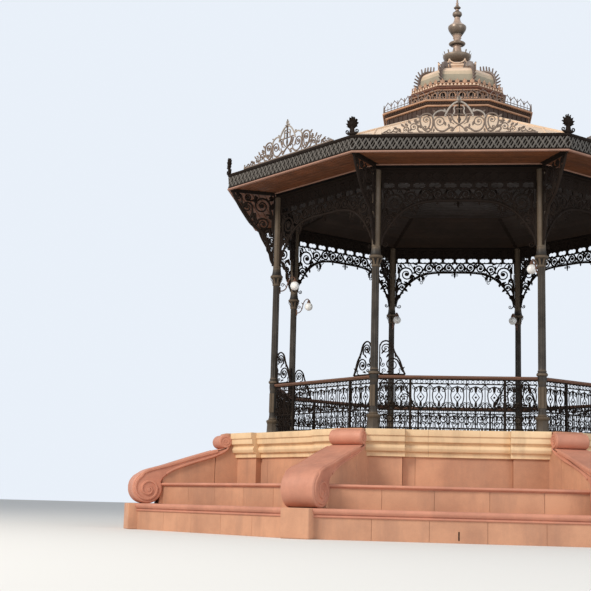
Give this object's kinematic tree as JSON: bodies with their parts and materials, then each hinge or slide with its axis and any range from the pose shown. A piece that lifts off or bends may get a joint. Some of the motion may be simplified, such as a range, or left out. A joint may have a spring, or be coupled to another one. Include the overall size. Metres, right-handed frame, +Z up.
{
  "type": "bandstand",
  "caption": "Octagonal open iron bandstand with arched scrollwork, railings and a domed lantern, on a stepped stone platform with scroll buttresses.",
  "frame": {"origin": "on the ground at the centre of the platform, below the finial", "axes": "+Z up, -Y out of the front side of the octagon, +X to the right seen from the front"},
  "size_m": [13.9482, 13.9482, 13.035],
  "materials": {
    "rose_stone": "worn rose ashlar, dusty",
    "cream_stone": "painted moulded stone",
    "floor_paving": "plain paving",
    "brown_rail": "worn brown paint",
    "dark_iron": "old dark paint with rusty lights",
    "brown_boards": "stained boards",
    "roof_sheet": "faded peach sheet",
    "dome_sheet": "weathered sage sheet",
    "opal_glass": "opal globe"
  },
  "bodies": {
    "root": {"arcade_band": "dark_iron", "arch_spandrels": "dark_iron", "buttress_pedestals": "rose_stone", "ceiling_centre": "brown_boards", "ceiling_slope": "brown_boards", "column_1": "dark_iron", "column_2": "dark_iron", "column_3": "dark_iron", "column_4": "dark_iron", "column_5": "dark_iron", "column_6": "dark_iron", "column_7": "dark_iron", "column_8": "dark_iron", "corner_palmettes": "dark_iron", "dado_walls": "rose_stone", "dome": "dome_sheet", "dome_collar": "dark_iron", "dome_ribs": "dark_iron", "eaves_brackets": "dark_iron", "eaves_fascia": "dark_iron", "eaves_soffit": "brown_boards", "finial": "dark_iron", "floor_slab": "floor_paving", "frieze_1": "dark_iron", "frieze_2": "dark_iron", "frieze_3": "dark_iron", "frieze_4": "dark_iron", "frieze_5": "dark_iron", "frieze_6": "dark_iron", "frieze_7": "dark_iron", "frieze_8": "dark_iron", "gallery_crest": "dark_iron", "handrails": "brown_rail", "lamp_arms": "dark_iron", "lamp_globes": "opal_glass", "lantern_cornice": "dark_iron", "lantern_drum": "dark_iron", "lower_ledge": "rose_stone", "platform_cornice": "cream_stone", "rail_scrolls": "dark_iron", "railing_1": "dark_iron", "railing_2": "dark_iron", "railing_3": "dark_iron", "railing_4": "dark_iron", "railing_5": "dark_iron", "railing_6": "dark_iron", "railing_7": "dark_iron", "railing_8": "dark_iron", "ring_beam": "dark_iron", "roof_cover": "roof_sheet", "roof_crests": "dark_iron", "scroll_buttresses": "rose_stone", "upper_cornice": "dark_iron", "upper_ledge": "rose_stone"}
  },
  "joints": []
}
